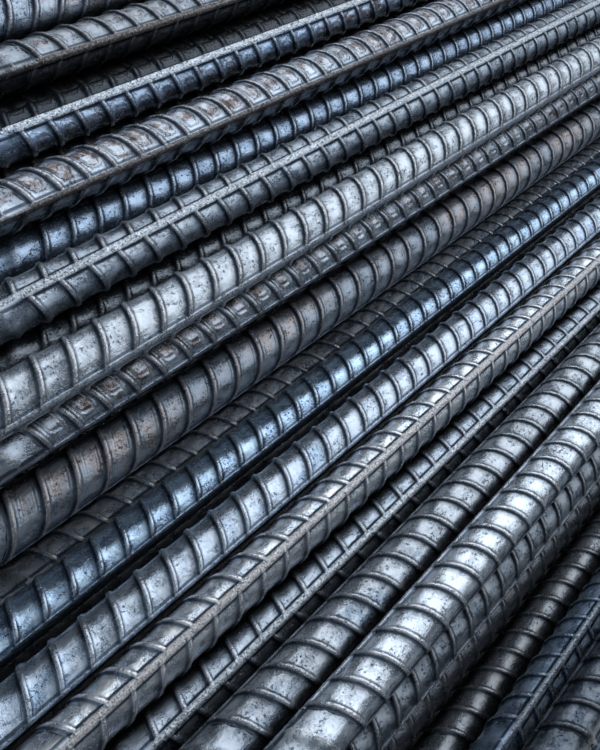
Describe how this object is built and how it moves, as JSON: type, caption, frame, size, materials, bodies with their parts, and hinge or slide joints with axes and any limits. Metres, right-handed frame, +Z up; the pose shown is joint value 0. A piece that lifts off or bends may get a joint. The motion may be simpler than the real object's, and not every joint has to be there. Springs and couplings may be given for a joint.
{
  "type": "rebar bundle",
  "caption": "Bundle of straight deformed steel reinforcing bars lying in loose layers, held by twisted wire-rod ties near its ends.",
  "frame": {"origin": "on the floor under the middle of the bundle: the centre of its bounding box in X and Y, its lowest face in Z", "axes": "+X along the bars, +Y across the bundle towards its higher side, +Z up from the floor"},
  "size_m": [3.032, 0.6084, 0.1724],
  "materials": {
    "inner_bar_steel": "hot-rolled, blue-grey mill scale, satin",
    "top_bar_01_steel": "hot-rolled, blue-grey mill scale with worn bright ribs, satin",
    "top_bar_02_steel": "hot-rolled, blue-grey mill scale with worn bright ribs, satin",
    "top_bar_03_steel": "hot-rolled, blue-grey mill scale with worn bright ribs, satin",
    "top_bar_04_steel": "hot-rolled, blue-grey mill scale with worn bright ribs, satin",
    "top_bar_05_steel": "hot-rolled, blue-grey mill scale with worn bright ribs, satin",
    "top_bar_06_steel": "hot-rolled, blue-grey mill scale with worn bright ribs, satin",
    "top_bar_07_steel": "hot-rolled, blue-grey mill scale with worn bright ribs, satin",
    "top_bar_08_steel": "hot-rolled, blue-grey mill scale with worn bright ribs, satin",
    "top_bar_09_steel": "hot-rolled, blue-grey mill scale with worn bright ribs, satin",
    "top_bar_10_steel": "hot-rolled, blue-grey mill scale with worn bright ribs, satin",
    "top_bar_11_steel": "hot-rolled, blue-grey mill scale with worn bright ribs, satin",
    "top_bar_12_steel": "hot-rolled, blue-grey mill scale with worn bright ribs, satin",
    "top_bar_13_steel": "hot-rolled, blue-grey mill scale with worn bright ribs, satin",
    "top_bar_14_steel": "hot-rolled, blue-grey mill scale with worn bright ribs, satin",
    "top_bar_15_steel": "hot-rolled, blue-grey mill scale with worn bright ribs, satin",
    "top_bar_16_steel": "hot-rolled, blue-grey mill scale with worn bright ribs, satin",
    "top_bar_17_steel": "hot-rolled, blue-grey mill scale with worn bright ribs, satin",
    "top_bar_18_steel": "hot-rolled, blue-grey mill scale with worn bright ribs, satin",
    "top_bar_19_steel": "hot-rolled, blue-grey mill scale with worn bright ribs, satin",
    "top_bar_20_steel": "hot-rolled, blue-grey mill scale with worn bright ribs, satin",
    "top_bar_21_steel": "hot-rolled, blue-grey mill scale with worn bright ribs, satin",
    "tie_rod_steel": "bare wire rod with dull mill scale and light rust"
  },
  "bodies": {
    "root": {"floor_layer_bars": "inner_bar_steel", "second_layer_bars": "inner_bar_steel", "third_layer_bars": "inner_bar_steel", "fourth_layer_bars": "inner_bar_steel", "fifth_layer_bars": "inner_bar_steel", "top_bar_01": "top_bar_01_steel", "top_bar_02": "top_bar_02_steel", "top_bar_03": "top_bar_03_steel", "top_bar_04": "top_bar_04_steel", "top_bar_05": "top_bar_05_steel", "top_bar_06": "top_bar_06_steel", "top_bar_07": "top_bar_07_steel", "top_bar_08": "top_bar_08_steel", "top_bar_09": "top_bar_09_steel", "top_bar_10": "top_bar_10_steel", "top_bar_11": "top_bar_11_steel", "top_bar_12": "top_bar_12_steel", "top_bar_13": "top_bar_13_steel", "top_bar_14": "top_bar_14_steel", "top_bar_15": "top_bar_15_steel", "top_bar_16": "top_bar_16_steel", "top_bar_17": "top_bar_17_steel", "top_bar_18": "top_bar_18_steel", "top_bar_19": "top_bar_19_steel", "top_bar_20": "top_bar_20_steel", "top_bar_21": "top_bar_21_steel", "near_tie": "tie_rod_steel", "far_tie": "tie_rod_steel"}
  },
  "joints": []
}
